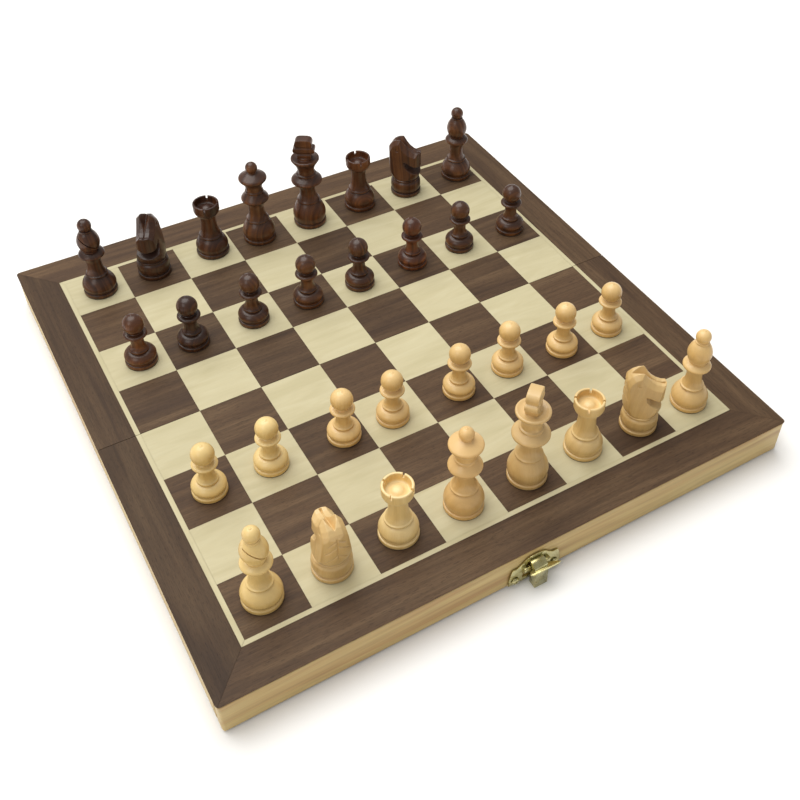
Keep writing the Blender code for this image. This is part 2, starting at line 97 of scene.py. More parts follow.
PANEL_LOW, PANEL_HIGH = node_box("near_panel")
FAR_PANEL_LOW, FAR_PANEL_HIGH = node_box("far_panel")
RIM_Z = node_box("near_outer_wall")[0].z
TOP_Z = PANEL_HIGH.z
PANEL_Z = PANEL_LOW.z
HALF_W = PANEL_HIGH.x
FOLD_Y = (PANEL_HIGH.y + FAR_PANEL_LOW.y) / 2
HALF_D = FAR_PANEL_HIGH.y - FOLD_Y
FOLD_CLEAR = FAR_PANEL_LOW.y - FOLD_Y
FIELD = SQUARES / 2 * PITCH
VENEER_Z = TOP_Z - VENEER_T
BACKING_Z = VENEER_Z - BACKING_T
SIDES = {"near": -1, "far": 1}
HANDS = {"left": -1, "right": 1}

# The camera stands that many squares from the field's near left corner.  Its heading is counted
# anticlockwise from +X; heading, dip and roll are degrees.
LENS, LENS_SHIFT = 47.04, (-0.0543, -0.0806)
CAMERA_SQUARES = (-1.4529, -7.0170, 11.7127)
HEADING, DIP, ROLL = 58.537, 43.257, 1.137


def tint(red, green, blue):
    """A display colour, 0 to 255, as a linear RGBA value."""
    channels = []
    for value in (red, green, blue):
        share = value / 255
        channels.append(share / 12.92 if share <= 0.04045 else ((share + 0.055) / 1.055) ** 2.4)
    return (*channels, 1.0)


# ---- materials

class Look:
    """A node material being put together.  Each method returns the socket it made."""

    def __init__(self, name, **settings):
        self.material = bpy.data.materials.new(name)
        self.material.use_nodes = True
        self.tree = self.material.node_tree
        self.shader = self.tree.nodes["Principled BSDF"]
        for key, value in settings.items():
            self.shader.inputs[key.replace("_", " ")].default_value = value

    def feed(self, socket, value):
        if isinstance(value, bpy.types.NodeSocket):
            self.tree.links.new(value, socket)
        else:
            socket.default_value = value

    def node(self, kind, inputs, output=0, **settings):
        made = self.tree.nodes.new("ShaderNode" + kind)
        for key, value in settings.items():
            setattr(made, key, value)
        for key, value in inputs.items():
            self.feed(made.inputs[key], value)
        return made.outputs[output]

    def attribute(self, name, output="Vector"):
        return self.node("Attribute", {}, output, attribute_name=name)

    def stretch(self, vector, along, across, through):
        return self.node("VectorMath", {0: vector, 1: (along, across, through)}, operation="MULTIPLY")

    def noise(self, vector, detail=2.0, roughness=0.5, distortion=0.0):
        return self.node("TexNoise", {"Vector": vector, "Scale": 1.0, "Detail": detail,
                                      "Roughness": roughness, "Distortion": distortion})

    def cloud(self, along, across, detail, roughness):
        """Noise with that many lumps a metre along the object's X and across it."""
        place = self.stretch(self.node("TexCoord", {}, "Object"), along, across, across)
        return self.noise(place, detail, roughness)

    def ramp(self, factor, *stops):
        socket = self.node("ValToRGB", {0: factor})
        elements = socket.node.color_ramp.elements
        for extra in range(len(stops) - 2):
            elements.new(0.5)
        for element, (position, colour) in zip(elements, stops):
            element.position = position
            is_colour = isinstance(colour, tuple)
            element.color = tint(*colour) if is_colour else (colour, colour, colour, 1.0)
        return socket

    def mix(self, factor, first, second, blend="MIX"):
        return self.node("Mix", {0: factor, 6: first, 7: second}, 2, data_type="RGBA",
                         blend_type=blend)

    def shade(self, colour, share, factor, *stops):
        """The colour darkened or lightened, by that share, by a ramp over the factor."""
        return self.mix(share, colour, self.ramp(factor, *stops), "MULTIPLY")

    def math(self, operation, first, second):
        return self.node("Math", {0: first, 1: second}, operation=operation)

    def set(self, name, value):
        self.feed(self.shader.inputs[name], value)

    def set_toned(self, colour):
        """The base colour, times the brightness and cast stored with each board."""
        tone = self.attribute("tone", "Color")
        self.set("Base Color", self.mix(1.0, colour, tone, "MULTIPLY"))

    def bump(self, height, strength, distance):
        normal = self.node("Bump", {"Height": height, "Strength": strength, "Distance": distance * MM})
        self.set("Normal", normal)


def walnut_look():
    """Open-grained walnut veneer: broad brown bands, growth lines and short dark pores."""
    look = Look("walnut_veneer", Specular_IOR_Level=0.15, Coat_Weight=0.04, Coat_Roughness=0.4)
    grain = look.attribute("grain")
    bands = look.noise(look.stretch(grain, 0.010, 0.11, 0.1), 2.0, 0.5, 0.8)
    lines = look.noise(look.stretch(grain, 0.018, 0.75, 0.3), 3.0, 0.6, 0.4)
    fibres = look.noise(look.stretch(grain, 0.12, 2.6, 2.0), 3.0, 0.7)
    pores = look.noise(look.stretch(grain, 0.32, 3.2, 2.6), 1.0, 0.5)
    colour = look.ramp(bands, (0.30, (72, 54, 40)), (0.50, (84, 64, 46)),
                       (0.72, (98, 77, 56)))
    colour = look.shade(colour, 0.55, lines, (0.32, 0.62), (0.52, 1.0), (0.70, 1.16))
    colour = look.shade(colour, 0.60, fibres, (0.35, 0.72), (0.60, 1.1))
    pore = look.ramp(pores, (0.60, 0.0), (0.68, 1.0))
    colour = look.mix(look.math("MULTIPLY", pore, 0.50), colour, tint(46, 33, 25))
    look.set_toned(colour)
    look.set("Roughness", look.ramp(fibres, (0.3, 0.50), (0.7, 0.62)))
    look.bump(pore, 0.35, -0.06)
    return look.material


def maple_look():
    """Pale veneer with a faint silky figure."""
    look = Look("maple_veneer", Specular_IOR_Level=0.15, Coat_Weight=0.04, Coat_Roughness=0.4)
    grain = look.attribute("grain")
    bands = look.noise(look.stretch(grain, 0.02, 0.09, 0.1), 2.0, 0.5, 1.6)
    lines = look.noise(look.stretch(grain, 0.04, 0.8, 0.4), 3.0, 0.6, 0.3)
    flecks = look.noise(look.stretch(grain, 0.35, 1.6, 1.0), 2.0, 0.6)
    colour = look.ramp(bands, (0.30, (184, 175, 140)), (0.52, (190, 181, 147)),
                       (0.75, (195, 187, 154)))
    colour = look.shade(colour, 0.16, lines, (0.35, 0.86), (0.62, 1.05))
    colour = look.shade(colour, 0.15, flecks, (0.30, 0.88), (0.45, 1.0))
    look.set_toned(colour)
    look.set("Roughness", look.ramp(lines, (0.3, 0.48), (0.7, 0.58)))
    return look.material


def plain_wood_look(name, pale, middle, deep, ring_pitch):
    """Plain varnished softwood: soft bands along the grain with a few deeper growth lines."""
    look = Look(name, Specular_IOR_Level=0.4, Coat_Weight=0.15, Coat_Roughness=0.4)
    grain = look.attribute("grain")
    rings = 1.0 / ring_pitch
    bands = look.noise(look.stretch(grain, 0.008, 0.6 * rings, 0.5 * rings), 2.0, 0.5, 0.9)
    lines = look.noise(look.stretch(grain, 0.02, 2.4 * rings, 2.4 * rings), 3.0, 0.6, 0.5)
    fibres = look.noise(look.stretch(grain, 0.15, 4.0, 4.0), 2.0, 0.6)
    colour = look.ramp(bands, (0.30, deep), (0.50, middle), (0.70, pale))
    colour = look.shade(colour, 0.45, lines, (0.34, 0.72), (0.55, 1.05))
    colour = look.shade(colour, 0.30, fibres, (0.35, 0.82), (0.60, 1.05))
    look.set("Base Color", colour)
    look.set("Roughness", look.ramp(fibres, (0.3, 0.42), (0.7, 0.56)))
    look.bump(fibres, 0.12, 0.08)
    return look.material


def turned_wood_look(name, pale, middle, deep, end, contrast, varnish):
    """Turned wood with upright grain: growth rings about a pith that lies off the piece's axis."""
    look = Look(name, Specular_IOR_Level=0.3, Coat_Weight=varnish, Coat_Roughness=0.15)
    grain = look.attribute("grain")
    flat = look.stretch(grain, 0.0, 1.0, 1.0)
    radius = look.node("VectorMath", {0: flat}, "Value", operation="LENGTH")
    ring_place = look.node("CombineXYZ", {"X": look.math("MULTIPLY", radius, 0.55)})
    wander = look.noise(look.stretch(grain, 0.02, 0.05, 0.05), 2.0, 0.5)
    ring_place = look.node("VectorMath", {0: ring_place, 1: look.node(
        "CombineXYZ", {"X": look.math("MULTIPLY", wander, 3.0), "Y": wander})}, operation="ADD")
    rings = look.noise(ring_place, 3.0, 0.65)
    fibres = look.noise(look.stretch(grain, 0.10, 2.4, 2.4), 3.0, 0.65)
    patches = look.noise(look.stretch(grain, 0.05, 0.12, 0.12), 2.0, 0.5, 0.5)
    colour = look.ramp(rings, (0.34, deep), (0.50, middle), (0.66, pale))
    colour = look.mix(contrast, tint(*middle), colour)
    colour = look.shade(colour, 0.5 * contrast, fibres, (0.34, 0.74), (0.60, 1.06))
    colour = look.shade(colour, contrast, patches, (0.32, 0.80), (0.66, 1.12))
    # Faces that look along the grain, the tops and undersides of the pieces, go towards the end
    # colour. In part this is end grain taking more stain. In part it is painted light: paler tops on
    # the boxwood stand for top light, and duller purplish tops on the stained wood are a painted
    # reflection of the varnish.
    soaked_and_top_lit = look.ramp(look.attribute("end_grain", "Fac"), (0.25, 0.0), (0.85, 1.0))
    colour = look.mix(look.math("MULTIPLY", soaked_and_top_lit, 0.8), colour, tint(*end))
    look.set_toned(colour)
    look.set("Roughness", look.ramp(fibres, (0.3, 0.34), (0.7, 0.44)))
    look.bump(fibres, 0.04, 0.05)
    return look.material


def brass_look():
    """Bright stamped brass, slightly mottled, with fine scratches."""
    look = Look("bright_brass", Metallic=1.0)
    cloud = look.cloud(260, 260, 3.0, 0.6)
    scratch = look.cloud(900, 6000, 2.0, 0.6)
    look.set("Base Color", look.ramp(cloud, (0.30, (172, 160, 104)), (0.70, (208, 203, 156))))
    look.set("Roughness", look.ramp(cloud, (0.30, 0.30), (0.70, 0.20)))
    look.bump(scratch, 0.05, 0.02)
    return look.material


def steel_look():
    look = Look("screw_steel", Metallic=1.0)
    cloud = look.cloud(500, 500, 3.0, 0.6)
    look.set("Base Color", look.ramp(cloud, (0.30, (150, 144, 126)), (0.70, (198, 194, 178))))
    look.set("Roughness", look.ramp(cloud, (0.30, 0.42), (0.70, 0.28)))
    return look.material


def felt_look():
    look = Look("felt", Roughness=0.95, Sheen_Weight=0.4)
    fuzz = look.cloud(3000, 3000, 3.0, 0.7)
    look.set("Base Color", look.ramp(fuzz, (0.30, (18, 16, 14)), (0.70, (44, 38, 32))))
    look.bump(fuzz, 0.5, 0.1)
    return look.material


WALNUT = walnut_look()
MAPLE = maple_look()
WALL_WOOD = plain_wood_look("wall_wood", (212, 188, 128), (199, 172, 112), (184, 145, 91), 4.0)
PLYWOOD = plain_wood_look("plywood", (206, 186, 140), (196, 172, 122), (182, 152, 102), 14.0)
# The fifth colour is the end colour, for end grain and for painted top light on upward faces: paler
# than the rest on boxwood, and a duller purplish brown on the stained wood as a painted varnish
# reflection.
BOXWOOD = turned_wood_look("boxwood", (228, 191, 126), (219, 178, 110), (206, 162, 94),
                           (224, 192, 136), 0.4, 0.30)
STAINED = turned_wood_look("stained_wood", (122, 77, 41), (92, 55, 29), (56, 32, 18),
                           (54, 35, 28), 0.8, 0.22)
BRASS = brass_look()
STEEL = steel_look()
FELT = felt_look()


# ---- mesh helpers

def add_object(name, data):
    """A new object for this mesh, curve, lamp or camera, in the scene."""
    obj = bpy.data.objects.new(name, data)
    bpy.context.scene.collection.objects.link(obj)
    return obj


def new_object(name, bm):
    mesh = bpy.data.meshes.new(name)
    bm.to_mesh(mesh)
    bm.free()
    return add_object(name, mesh)


def smooth(obj, angle=35):
    obj.data.shade_smooth()
    obj.data.set_sharp_from_angle(angle=math.radians(angle))
    return obj


def bake(obj):
    """Replace a curve, or an object with modifiers, by its evaluated and welded mesh."""
    bpy.context.view_layer.update()
    evaluated = obj.evaluated_get(bpy.context.evaluated_depsgraph_get())
    mesh = bpy.data.meshes.new_from_object(evaluated)
    bm = bmesh.new()
    bm.from_mesh(mesh)
    bmesh.ops.remove_doubles(bm, verts=bm.verts, dist=0.000002)
    bmesh.ops.recalc_face_normals(bm, faces=bm.faces)
    bm.to_mesh(mesh)
    bm.free()
    name = obj.name
    bpy.data.objects.remove(obj)
    return add_object(name, mesh)


def transform(obj, matrix):
    obj.data.transform(matrix)
    return obj


def move(obj, x, y, z):
    return transform(obj, Matrix.Translation(Vector((x, y, z)) * MM))


def turn(obj, degrees, axis):
    return transform(obj, Matrix.Rotation(math.radians(degrees), 4, axis))


def combine(obj, other, operation):
    boolean = obj.modifiers.new(operation.lower(), "BOOLEAN")
    boolean.operation = operation
    boolean.solver = "EXACT"
    boolean.object = other
    result = bake(obj)
    bpy.data.objects.remove(other)
    return result


def cut(obj, other):
    return combine(obj, other, "DIFFERENCE")


def join(obj, other):
    return combine(obj, other, "UNION")


def box(name, low, high):
    bm = bmesh.new()
    bmesh.ops.create_cube(bm, size=1.0)
    for vert in bm.verts:
        for axis in range(3):
            vert.co[axis] = (high[axis] if vert.co[axis] > 0 else low[axis]) * MM
    return new_object(name, bm)


def rod(name, centre, radius, length, axis, steps=32, tip_radius=None):
    bm = bmesh.new()
    bmesh.ops.create_cone(bm, cap_ends=True, segments=steps, radius1=radius * MM,
                          radius2=(radius if tip_radius is None else tip_radius) * MM,
                          depth=length * MM)
    obj = new_object(name, bm)
    if axis == "X":
        turn(obj, 90, "Y")
    elif axis == "Y":
        turn(obj, 90, "X")
    return move(obj, *centre)


def plate(name, outline, thickness, rounding=0.0, rounding_steps=2):
    """A flat outline in XY, thickened both ways along Z, its rims rounded or chamfered."""
    curve = bpy.data.curves.new(name, "CURVE")
    curve.dimensions = "2D"
    curve.fill_mode = "BOTH"
    curve.extrude = (thickness / 2 - rounding) * MM
    curve.bevel_depth = rounding * MM
    curve.bevel_resolution = rounding_steps
    curve.offset = -rounding * MM
    spline = curve.splines.new("POLY")
    spline.points.add(len(outline) - 1)
    for point, (x, y) in zip(spline.points, outline):
        point.co = (x * MM, y * MM, 0.0, 1.0)
    spline.use_cyclic_u = True
    return bake(add_object(name, curve))


def bevel(obj, width, segments=2, angle=30):
    modifier = obj.modifiers.new("bevel", "BEVEL")
    modifier.width = width * MM
    modifier.segments = segments
    modifier.limit_method = "ANGLE"
    modifier.angle_limit = math.radians(angle)
    return bake(obj)


def remesh(obj, voxel, passes, keep):
    """Melt joined shapes into one skin, sand it smooth and keep that share of its faces."""
    melting = obj.modifiers.new("remesh", "REMESH")
    melting.mode = "VOXEL"
    melting.voxel_size = voxel * MM
    sanding = obj.modifiers.new("sanding", "SMOOTH")
    sanding.factor = 0.5
    sanding.iterations = passes
    thinning = obj.modifiers.new("thinning", "DECIMATE")
    thinning.ratio = keep
    return bake(obj)


def arc(centre, radius, start, end, count):
    points = []
    for i in range(count + 1):
        angle = math.radians(start + (end - start) * i / count)
        points.append((centre[0] + radius * math.cos(angle), centre[1] + radius * math.sin(angle)))
    return points


def mirrored(right_half):
    return right_half + [(-x, z) for x, z in reversed(right_half) if x > 0]


def eased(corners, per_corner=5):
    """Corner points (x, z, ease) joined by straight runs, each corner rounded over its ease."""
    points = [Vector(corners[0][:2])]
    for before, here, after in zip(corners, corners[1:], corners[2:]):
        corner = Vector(here[:2])
        back = Vector(before[:2]) - corner
        ahead = Vector(after[:2]) - corner
        reach = min(here[2], back.length * 0.5, ahead.length * 0.5)
        if reach < 0.02:
            points.append(corner)
            continue
        start = corner + back.normalized() * reach
        end = corner + ahead.normalized() * reach
        for i in range(per_corner + 1):
            t = i / per_corner
            points.append(start * (1 - t) ** 2 + corner * 2 * t * (1 - t) + end * t ** 2)
    points.append(Vector(corners[-1][:2]))
    return [tuple(point) for point in points]


def turned(name, profile, steps=64):
    """A solid of revolution about Z from (radius, height) points that run from top to bottom."""
    mesh = bpy.data.meshes.new(name)
    points = [(radius * MM, 0.0, height * MM) for radius, height in profile]
    mesh.from_pydata(points, [(i, i + 1) for i in range(len(points) - 1)], [])
    obj = add_object(name, mesh)
    screw = obj.modifiers.new("turn", "SCREW")
    screw.axis = "Z"
    screw.angle = math.tau
    screw.steps = screw.render_steps = steps
    screw.use_merge_vertices = True
    screw.merge_threshold = 0.000002
    return bake(obj)


def new_board(picker, tone_range):
    """A random place in the log, and a random brightness, for one piece of wood."""
    offset = Vector(picker.uniform(-900, 900) for _ in range(3))
    return offset, 1 + picker.uniform(-tone_range, tone_range)


def set_grain(obj, along, seed, tone_range=0.0, cast=(1.0, 1.0, 1.0)):
    """Store each point's place in its own board, grain first, and that board's colour cast."""
    mesh = obj.data
    offset, brightness = new_board(random.Random(seed), tone_range)
    order = GRAIN_ORDER[along]
    for name, kind in (("grain", "FLOAT_VECTOR"), ("tone", "FLOAT_COLOR"), ("end_grain", "FLOAT")):
        if name in mesh.attributes:
            mesh.attributes.remove(mesh.attributes[name])
        mesh.attributes.new(name, kind, "POINT")
    grain, tone, ends = (mesh.attributes[name].data for name in ("grain", "tone", "end_grain"))
    shade = [brightness * share for share in cast]
    for i, vert in enumerate(mesh.vertices):
        grain[i].vector = Vector(vert.co[axis] / MM for axis in order) + offset
        tone[i].color = (*shade, 1.0)
        # How squarely each face looks along the grain. This marks end grain, and also the upward faces
        # that the turned woods paint with top light.
        ends[i].value = abs(vert.normal[order[0]])


def finish(obj, material, body, slot, *nodes):
    """Give a finished piece its material and its body, and hide the frame nodes that it stands for."""
    obj.data.materials.clear()
    obj.data.materials.append(material)
    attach(obj, body)
    if nodes:
        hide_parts(*nodes)
    return obj


def from_fold(side, distance):
    return FOLD_Y + SIDES[side] * distance


# ---- veneer

def inset(outline, distances):
    """A convex outline, anticlockwise, with edge i moved inwards by distances[i]."""
    count = len(outline)
    moved = []
    for i, corner in enumerate(outline):
        here = Vector(corner)
        come = (here - Vector(outline[i - 1])).normalized()
        go = (Vector(outline[(i + 1) % count]) - here).normalized()
        first, second = distances[i - 1], distances[i]
        turning = come.cross(go)
        if abs(turning) < 0.02:
            moved.append(here + Vector((-come.y, come.x)) * max(first, second))
        else:
            moved.append(here + (come * second - go * first) / turning)
    return moved


def lay_tile(bm, outline, low, high, arris, along, board):
    """Add one tile: a prism whose top edges are rounded by arris, one value for each edge."""
    grain = bm.verts.layers.float_vector["grain"]
    tone = bm.verts.layers.float_color["tone"]
    shares = [(0.0, None), (0.0, 1.0), (0.29, 0.29), (1.0, 0.0)]
    deepest = max(arris)
    rings = []
    for inwards, downwards in shares:
        ring_outline = inset(outline, [width * inwards for width in arris])
        level = low if downwards is None else high - deepest * downwards
        rings.append([bm.verts.new((x * MM, y * MM, level * MM)) for x, y in ring_outline])
    offset, brightness = board
    order = GRAIN_ORDER[along]
    for vert in sum(rings, []):
        vert[grain] = Vector(vert.co[axis] / MM for axis in order) + offset
        vert[tone] = (brightness, brightness, brightness, 1.0)
    count = len(outline)
    for lower, upper in zip(rings, rings[1:]):
        for i in range(count):
            j = (i + 1) % count
            bm.faces.new((lower[i], lower[j], upper[j], upper[i]))
    bm.faces.new(list(reversed(rings[0])))
    bm.faces.new(rings[-1])


def tile_mesh():
    bm = bmesh.new()
    bm.verts.layers.float_vector.new("grain")
    bm.verts.layers.float_color.new("tone")
    return bm


def rectangle(x_low, x_high, y_low, y_high):
    return [(x_low, y_low), (x_high, y_low), (x_high, y_high), (x_low, y_high)]


def square_span(number):
    """Both edges of a row or column of squares, from the field's middle."""
    low, high = (number - SQUARES // 2) * PITCH, (number + 1 - SQUARES // 2) * PITCH
    return (low + (STRINGING if number == 0 else 0) + SEAM,
            high - (STRINGING if number == SQUARES - 1 else 0) - SEAM)


def lay_squares(side):
    """Thirty-two squares of one half; the outer ones are cut back by the stringing."""
    picker = random.Random("squares " + side)
    dark, pale = tile_mesh(), tile_mesh()
    half = SQUARES // 2
    fold_y = from_fold(side, FOLD_CLEAR)
    for row in (range(half) if side == "near" else range(half, SQUARES)):
        for column in range(SQUARES):
            x_low, x_high = square_span(column)
            y_low, y_high = (FOLD_Y + y for y in square_span(row))
            if side == "far":
                y_low = max(y_low, fold_y)
            else:
                y_high = min(y_high, fold_y)
            is_dark = (row + column) % 2 == 0
            lay_tile(dark if is_dark else pale, rectangle(x_low, x_high, y_low, y_high),
                     VENEER_Z, TOP_Z, [0.08] * 4, "X", new_board(picker, 0.10 if is_dark else 0.03))
    body = side + "_half"
    finish(new_object(side + "_walnut_squares", dark), WALNUT, body, "veneer_panel")
    finish(new_object(side + "_maple_squares", pale), MAPLE, body, "veneer_panel")


def lay_frame(name, side, inner, outer_x, outer_y, corner_r, arris, material, shades):
    """Three mitred strips round one half of the field: the left, the right and the long one."""
    picker = random.Random(name + side)
    sign = SIDES[side]
    fold_y = from_fold(side, FOLD_CLEAR)
    y_in, y_out = from_fold(side, inner), from_fold(side, outer_y)
    bm = tile_mesh()

    def corner(hand, start, end):
        """A rounded corner, in degrees from the way that the long edge faces."""
        if not corner_r:
            return [(hand * outer_x, y_out)]
        centre = (hand * (outer_x - corner_r), y_out - sign * corner_r)
        return arc(centre, corner_r, *(sign * (90 - hand * by) for by in (start, end)), 3)

    for hand, shade in zip((-1, 1), shades):
        bend = corner(hand, 90, 45)
        outline = [(hand * outer_x, fold_y)] + bend + [(hand * inner, y_in), (hand * inner, fold_y)]
        widths = [arris] * len(bend) + [JOINT_ARRIS] * 3
        lay_strip(bm, outline, widths, "Y", (new_board(picker, 0)[0], shade))
    left, right = corner(-1, 45, 0), corner(1, 0, 45)
    outline = left + right + [(inner, y_in), (-inner, y_in)]
    widths = [arris] * (len(left) + len(right) - 1) + [JOINT_ARRIS] * 3
    lay_strip(bm, outline, widths, "X", (new_board(picker, 0)[0], shades[2]))
    finish(new_object(side + "_" + name, bm), material, side + "_half", "veneer_panel")


def lay_strip(bm, outline, widths, along, board):
    """A strip of the frame, turned anticlockwise if needed and held back a little at its joints."""
    area = sum(a[0] * b[1] - b[0] * a[1] for a, b in zip(outline, outline[1:] + outline[:1]))
    if area < 0:
        outline = list(reversed(outline))
        widths = list(reversed(widths[:-1])) + widths[-1:]
    back = [STRIP_SEAM if width == JOINT_ARRIS else 0.0 for width in widths]
    outline = [tuple(point) for point in inset(outline, back)]
    lay_tile(bm, outline, VENEER_Z, TOP_Z, widths, along, board)


def make_veneers():
    border_shades = {"near": (0.70, 0.95, 1.0), "far": (0.80, 0.95, 1.20)}
    for side in SIDES:
        lay_squares(side)
        lay_frame("stringing", side, FIELD - STRINGING, FIELD, FIELD, 0.0, 0.05, MAPLE,
                  (1.0, 1.0, 1.0))
        lay_frame("walnut_border", side, FIELD, HALF_W, HALF_D, CORNER_R, 0.45, WALNUT,
                  border_shades[side])


# ---- board box

def board_outline(x_half, side, d_low, d_high, rounding):
    """Anticlockwise outline of a board whose outer corners are rounded."""
    y_low, y_high = sorted((from_fold(side, d_low), from_fold(side, d_high)))
    points = []
    for x, y, start in ((-1, -1, 180), (1, -1, 270), (1, 1, 0), (-1, 1, 90)):
        centre = (x * (x_half - rounding), (y_low if y < 0 else y_high) - y * rounding)
        points += arc(centre, rounding, start, start + 90, 4)
    return points


def make_board(name, outline, low, high, along):
    bm = tile_mesh()
    board = new_board(random.Random(name), WALL_TONE)
    lay_tile(bm, outline, low, high, [0.12] * len(outline), along, board)
    return smooth(new_object(name, bm))


def make_walls(side):
    """Solid wood walls, right up to the cross-band."""
    body = side + "_half"
    outline = board_outline(HALF_W, side, HALF_D - WALL_T, HALF_D, 1.5)
    outer = make_board(side + "_rail", outline, RIM_Z, BACKING_Z, "X")
    if side == "near":
        pocket = node_middle("latch_pin")
        hollow = rod("pocket", (0, pocket.y, pocket.z), 4.3, 8.2, "X", 48)
        outer = cut(outer, hollow)
        set_grain(outer, "X", "near rail", WALL_TONE)
    finish(outer, WALL_WOOD, body, "pale_wood", side + "_outer_wall")
    outline = board_outline(HALF_W, side, FOLD_CLEAR, WALL_T, 0.4)
    inner = make_board(side + "_fold_rail", outline, RIM_Z, BACKING_Z, "X")
    slack = Vector((0.3, 0.3, 0.3))
    for hand in HANDS:
        low, high = node_box(f"hinge_{hand}_{side}_leaf")
        low, high = low - slack, high + slack
        high.z = node_box(f"hinge_{hand}_near_leaf")[0].z + 2.5
        y_low = min(low.y, FOLD_Y - 1.0) if side == "near" else low.y
        inner = cut(inner, box("seat", (low.x, y_low, -1.0), high))
    set_grain(inner, "X", side + " fold rail", WALL_TONE)
    finish(smooth(inner), WALL_WOOD, body, "pale_wood", side + "_fold_wall")
    for hand, sign in HANDS.items():
        xs = sorted((sign * (HALF_W - WALL_T), sign * HALF_W))
        ys = sorted((from_fold(side, WALL_T), from_fold(side, HALF_D - WALL_T)))
        wall = make_board(side + "_" + hand + "_rail", rectangle(*xs, *ys), RIM_Z, BACKING_Z, "Y")
        finish(wall, WALL_WOOD, body, "pale_wood", side + "_" + hand + "_wall")


def make_panel(side):
    """Cross-band over the whole half, and the plywood between the walls under it."""
    whole = board_outline(HALF_W - 0.05, side, FOLD_CLEAR, HALF_D - 0.05, 1.5)
    band = make_board(side + "_cross_band", whole, BACKING_Z, VENEER_Z, "Y")
    finish(band, PLYWOOD, side + "_half", "pale_wood")
    inside = board_outline(HALF_W - WALL_T, side, WALL_T, HALF_D - WALL_T, 0.1)
    ply = make_board(side + "_plywood", inside, PANEL_Z, BACKING_Z, "X")
    finish(ply, PLYWOOD, side + "_half", "veneer_panel", side + "_panel")


# ---- hinges

def cross_head(name, dome, steps, reach, half_width, floor, angle):
    """A screw head about Z with a cross cut in it, down to the floor height."""
    screw = turned(name, dome, steps)
    for turned_by in (angle, angle + 90):
        slot = box("slot", (-reach, -half_width, floor), (reach, half_width, floor + 2))
        screw = cut(screw, turn(slot, turned_by, "Z"))
    return screw


def hinge_screw(name, centre):
    """Small domed screw head that faces down, its underside at the centre's height."""
    radius, height = 1.45, 0.6
    dome = eased([(0, height), (radius * 0.7, height, radius * 0.5), (radius, height * 0.35, 0.3),
                  (radius, 0, 0.1), (0, 0)], 4)
    screw = cross_head(name, dome, 32, radius * 0.72, 0.17, height - 0.35, 25)
    turn(screw, 180, "X")
    return smooth(move(screw, *centre))


def make_hinge(hand):
    """Two leaves let into the fold walls, their rolled knuckles and the pin between them."""
    pin_low, pin_high = node_box(f"hinge_{hand}_pin")
    x_mid, axis_z = (pin_low.x + pin_high.x) / 2, (pin_low.z + pin_high.z) / 2
    length = pin_high.x - pin_low.x
    half, sixth, gap = length / 2, length / 6, 0.1
    spans = {"near": [(-half, -sixth - gap), (sixth + gap, half)],
             "far": [(-sixth + gap, sixth - gap)]}
    for side in SIDES:
        make_leaf(hand, side, x_mid, axis_z, spans[side])
    pin = rod("hinge_rivet_" + hand, (x_mid, FOLD_Y, axis_z), 0.45, length, "X", 24)
    finish(smooth(bevel(pin, 0.1, 2)), BRASS, "near_half", "brass", f"hinge_{hand}_pin")


def make_leaf(hand, side, x_mid, axis_z, spans):
    """One leaf with its rolled knuckles and its two screws."""
    node = f"hinge_{hand}_{side}_leaf"
    low, high = node_box(node)
    leaf_z, thickness, slack = axis_z + 0.25, 0.75, 0.01
    edge = low.y if side == "near" else high.y
    ys = sorted((edge, from_fold(side, 1.45)))
    leaf = box(f"leaf_{hand}_{side}", (low.x, ys[0], leaf_z), (high.x, ys[1], leaf_z + thickness))
    ys = sorted((from_fold(side, 0.3), from_fold(side, 1.7)))
    for start, end in spans:
        strap = box("strap", (x_mid + start, ys[0], leaf_z + slack),
                    (x_mid + end, ys[1], leaf_z + thickness - slack))
        middle = (x_mid + (start + end) / 2, FOLD_Y, axis_z)
        knuckle = rod("knuckle", middle, KNUCKLE_R, end - start, "X", 40)
        leaf = join(join(leaf, strap), knuckle)
    leaf = cut(leaf, rod("bore", (x_mid, FOLD_Y, axis_z), 0.5, high.x - low.x + 6, "X", 24))
    screw_node = f"hinge_{hand}_{side}_screw"
    screw_y = node_middle(screw_node).y
    places = [x_mid - LEAF_SCREW_X, x_mid + LEAF_SCREW_X]
    for x in places:
        leaf = cut(leaf, rod("sink", (x, screw_y, leaf_z + 0.3), 1.75, 1.6, "Z", 32, 1.2))
    leaf = smooth(bevel(leaf, 0.12, 2, 40))
    leaf.name = f"hinge_leaf_{hand}_{side}"
    finish(leaf, BRASS, side + "_half", "brass", node)
    for number, x in enumerate(places, 1):
        head = hinge_screw(f"hinge_screw_head_{hand}_{side}_{number}", (x, screw_y, leaf_z + 0.7))
        stands_for = [screw_node] if (x - x_mid) * SIDES[side] > 0 else []
        finish(head, STEEL, side + "_half", "steel", *stands_for)


# ---- latch and strike

def upright(obj, side, out):
    """Stand a flat plate on the outer wall's face, its middle plane that far out."""
    turn(obj, 90, "X")
    return move(obj, 0, from_fold(side, HALF_D + out), 0)


def side_view(name, outline, width, side):
    """Extrude an outline of (distance out, height) points along X."""
    wall_y = from_fold(side, HALF_D)
    near = Matrix(((0, 0, -1, 0), (-1, 0, 0, wall_y * MM), (0, 1, 0, 0), (0, 0, 0, 1)))
    far = Matrix(((0, 0, 1, 0), (1, 0, 0, wall_y * MM), (0, 1, 0, 0), (0, 0, 0, 1)))
    return transform(plate(name, outline, width), near if side == "near" else far)


def wall_screw(name, node, side):
    """Domed cross-head screw of the latch plate or the strike."""
    middle = node_middle(node)
    seat = from_fold(side, HALF_D + 1.35)
    dome = eased([(0, 1.05), (1.5, 1.0, 1.0), (2.0, 0.25, 0.4), (2.0, 0, 0.1), (0, 0)], 5)
    screw = cross_head(name, dome, 40, 1.3, 0.22, 0.55, 20)
    turn(screw, 90 * -SIDES[side], "X")
    move(screw, middle.x, seat, middle.z)
    return finish(smooth(screw), BRASS, side + "_half", "brass", node)


